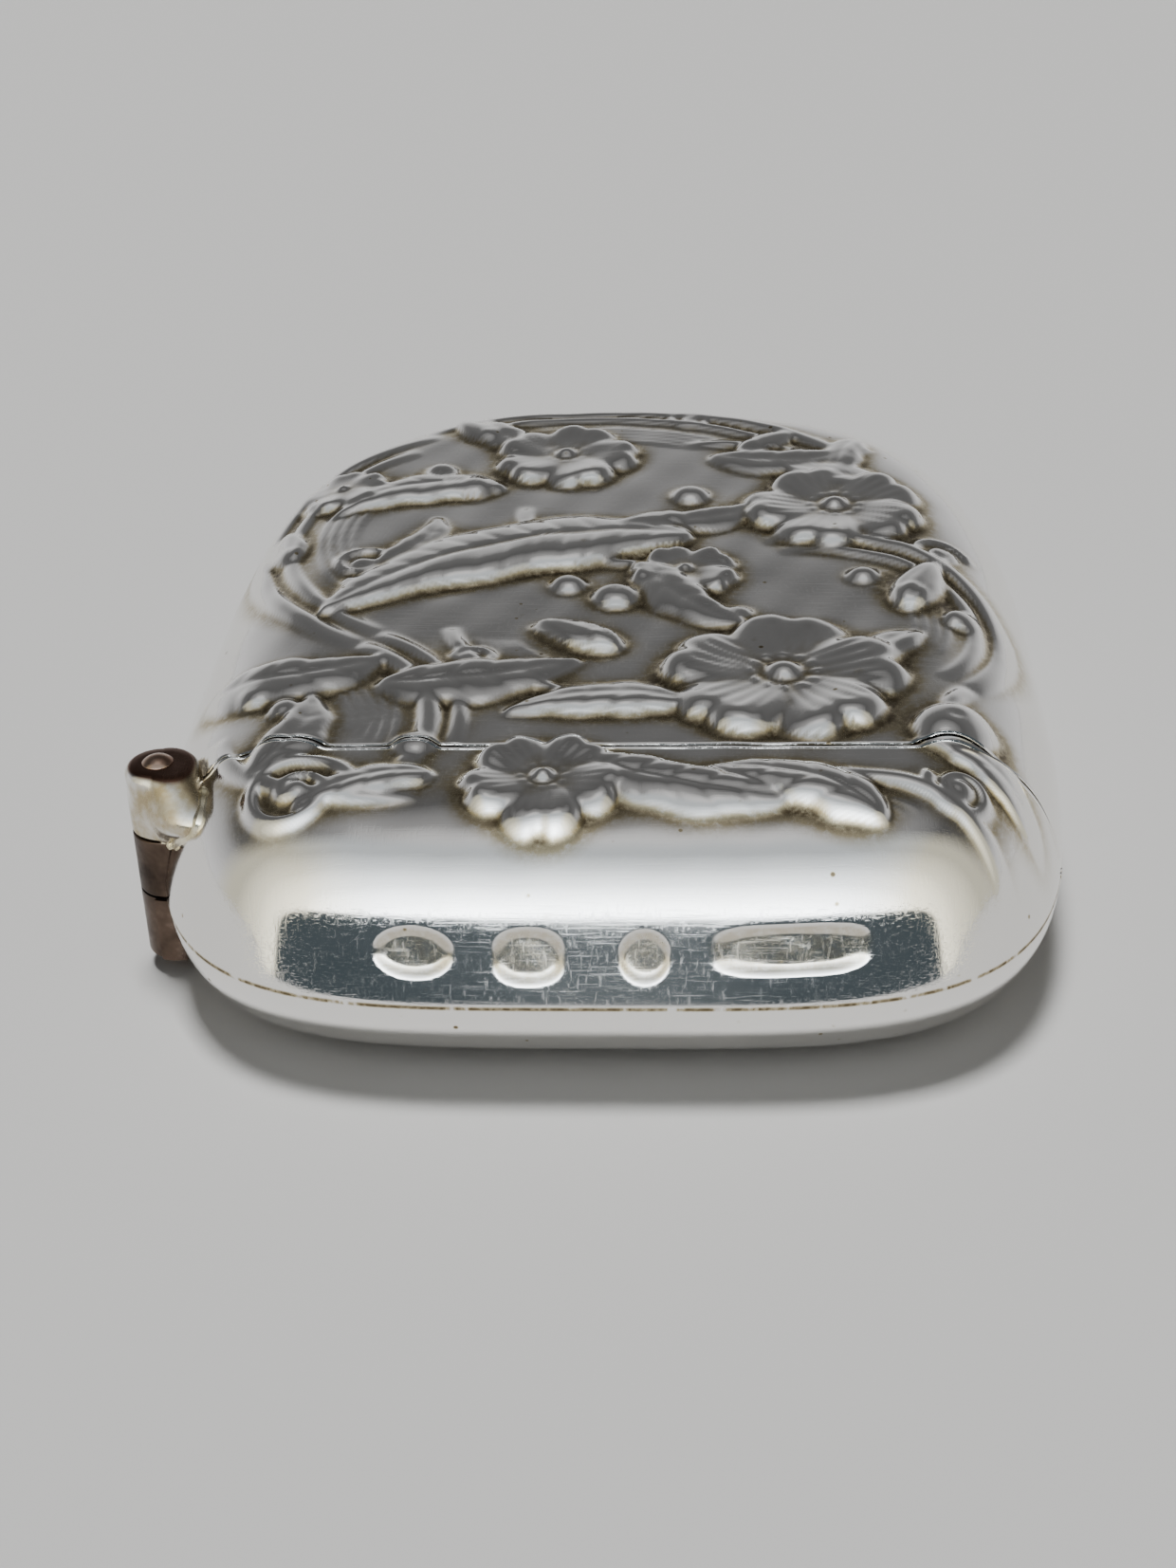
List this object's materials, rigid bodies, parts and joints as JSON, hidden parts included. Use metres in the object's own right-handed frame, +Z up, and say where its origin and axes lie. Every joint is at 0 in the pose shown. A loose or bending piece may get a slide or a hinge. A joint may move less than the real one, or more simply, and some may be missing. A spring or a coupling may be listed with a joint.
{
  "type": "match safe",
  "caption": "Flat silver match safe lying on its back: rounded two-part case with stamped floral relief on the front, hinged snap lid at one end and a ribbed striker at the other.",
  "frame": {"origin": "centre of the flat back, on the surface that the case lies on", "axes": "+X across the case away from the hinge, +Y along the case from the lid end to the striker end, +Z up through the stamped front"},
  "size_m": [0.0405, 0.051, 0.0118],
  "materials": {
    "silver": "polished high points, brown-grey patina in the hollows, fine rubbed scratches",
    "silver_plain": "worn polish with light tarnish",
    "striker_silver": "ribbed, tarnished between the ribs",
    "silver_dark": "dark brown patina, worn bright on the crest",
    "silver_pin": "domed head, brown round its edge",
    "spring_steel": "blued grey, brushed along its length"
  },
  "bodies": {
    "case": {"body_front": "silver", "body_back": "silver", "mouth_collar": "silver_plain", "striker": "striker_silver", "hinge_knuckle_body": "silver_dark", "snap_spring": "spring_steel", "spring_pad": "silver_plain", "spring_rivets": "silver_plain"},
    "lid": {"lid_front": "silver", "lid_back": "silver", "hinge_knuckle_lid_top": "silver_plain", "hinge_knuckle_lid_bottom": "silver_dark", "hinge_pin": "silver_pin", "lid_heel": "silver_plain"}
  },
  "joints": [
    {"name": "lid_hinge", "type": "hinge", "parent": "case", "child": "lid", "pos_m": [-0.0191, -0.0153, 0.0055], "axis": [0, 0, -1], "range_deg": [0, 110]}
  ]
}
